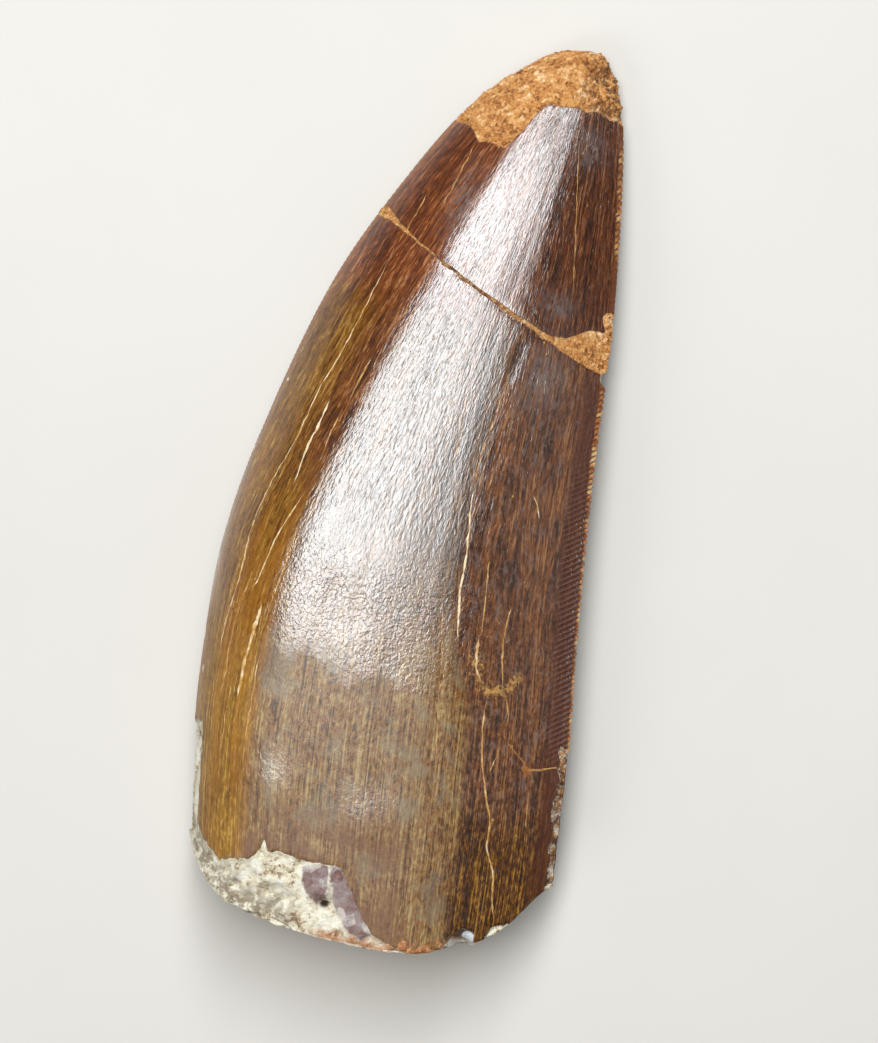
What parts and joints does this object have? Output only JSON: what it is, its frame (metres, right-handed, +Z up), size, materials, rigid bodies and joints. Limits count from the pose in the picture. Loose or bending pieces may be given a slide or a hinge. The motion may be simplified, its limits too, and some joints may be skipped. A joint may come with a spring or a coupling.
{
  "type": "fossil dinosaur tooth",
  "caption": "Curved blade-shaped fossil tooth crown of a large meat-eating dinosaur, saw-edged along the rear, broken off at the root and lying on its inner face.",
  "frame": {"origin": "on the floor, under the middle of the tooth's bounding box", "axes": "+Y along the crown to the tip, +X to the saw-edged rear (distal) edge, -X to the rounded front (mesial) edge, +Z up, out of the outer face"},
  "size_m": [0.041, 0.0925, 0.0135],
  "materials": {
    "fossil_tooth": "glossy streaked brown enamel, sandy crust on the tip and in the old break, cream dentine at the broken root end"
  },
  "bodies": {
    "root": {"tooth": "fossil_tooth"}
  },
  "joints": []
}
